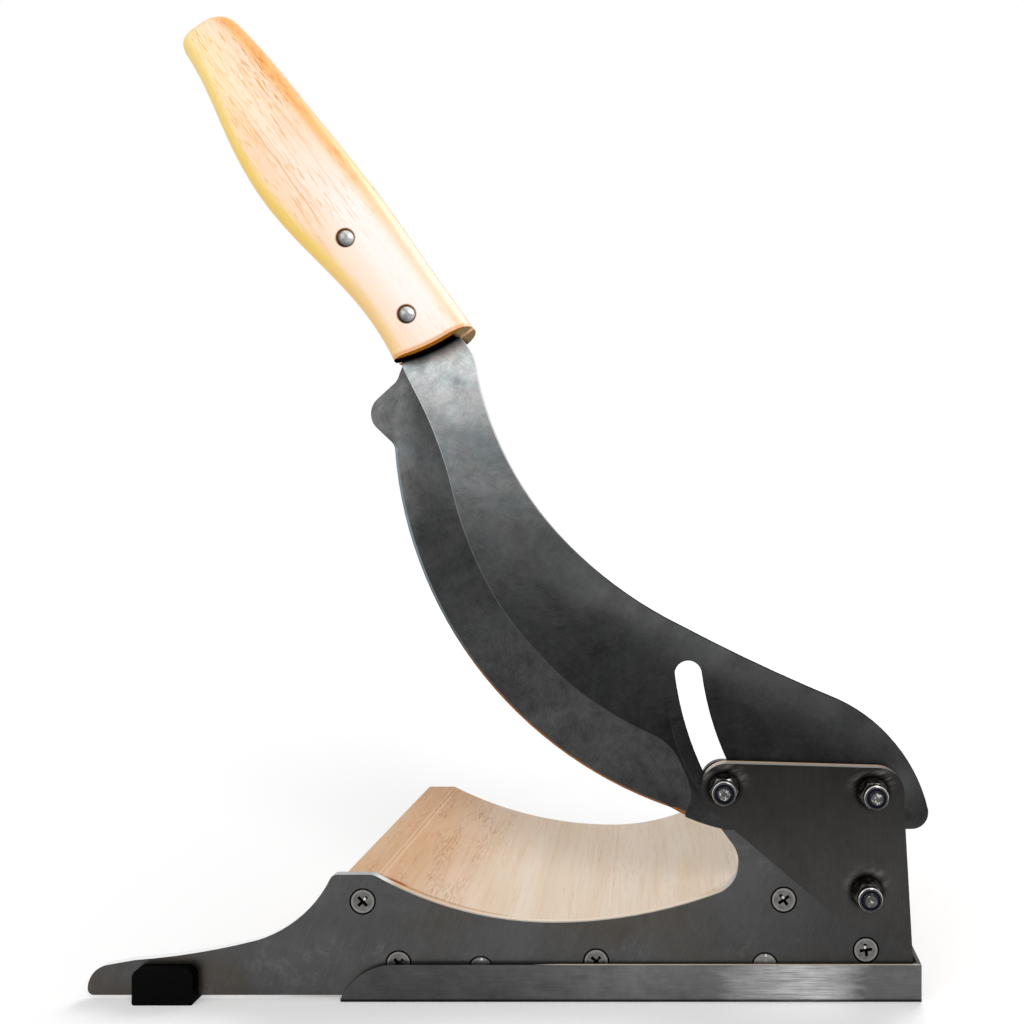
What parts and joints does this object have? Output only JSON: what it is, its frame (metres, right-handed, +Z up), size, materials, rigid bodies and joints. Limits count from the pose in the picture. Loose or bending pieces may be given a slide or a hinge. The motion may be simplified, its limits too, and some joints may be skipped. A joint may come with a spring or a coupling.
{
  "type": "lever slicer",
  "caption": "Draw-cut lever slicer: curved blade on a wooden handle, pinned between two steel plates, over a hollowed wood block in a folded channel.",
  "frame": {"origin": "centre of the base channel's underside, on the surface that it stands on", "axes": "+Z up, +X towards the pinned end, -Y towards the side that carries the blade and the bracket plate"},
  "size_m": [0.3437, 0.1104, 0.3985],
  "materials": {
    "channel_steel": "brushed along the length",
    "plate_steel": "dark brushed steel",
    "blade_steel": "satin, mottled, ground bevel",
    "bright_steel": "bright zinc",
    "screw_steel": "nickel",
    "insert_nylon": "matt nylon",
    "block_wood": "plain hardwood",
    "handle_wood": "clear varnish",
    "foot_rubber": "matt black rubber"
  },
  "bodies": {
    "frame": {"base_channel": "channel_steel", "wood_block": "block_wood", "side_plate": "plate_steel", "bracket_plate": "plate_steel", "nose_foot": "foot_rubber", "front_pin_sleeve": "bright_steel", "lower_spacer": "bright_steel", "front_bolt": "bright_steel", "front_washer": "bright_steel", "front_nut": "bright_steel", "front_nut_insert": "insert_nylon", "rear_bolt": "bright_steel", "rear_washer": "bright_steel", "rear_nut": "bright_steel", "rear_nut_insert": "insert_nylon", "lower_bolt": "bright_steel", "lower_washer": "bright_steel", "lower_nut": "bright_steel", "lower_nut_insert": "insert_nylon", "plate_screw_1": "screw_steel", "plate_screw_2": "screw_steel", "plate_screw_3": "screw_steel", "plate_screw_4": "screw_steel", "plate_screw_5": "screw_steel", "plate_pin_1": "screw_steel", "plate_pin_2": "screw_steel", "base_screw_1": "screw_steel", "base_screw_2": "screw_steel", "base_screw_3": "screw_steel", "base_screw_4": "screw_steel"},
    "rear_bush": {"rear_pin_bush": "bright_steel"},
    "blade_lever": {"blade": "blade_steel", "handle": "handle_wood", "handle_rivet_1": "bright_steel", "handle_rivet_2": "bright_steel"}
  },
  "joints": [
    {"name": "blade_swing", "type": "hinge", "parent": "frame", "child": "rear_bush", "pos_m": [0.0972, -0.0488, 0.0882], "axis": [0, -1, 0], "range_deg": [0, 45.6]},
    {"name": "blade_draw", "type": "slide", "parent": "rear_bush", "child": "blade_lever", "axis": [0.9976, 0, -0.0698], "range_m": [0, 0.0336]}
  ],
  "couplings": [
    {"joint": "blade_draw", "follows": "blade_swing", "m_per_rad": 0.042092}
  ]
}
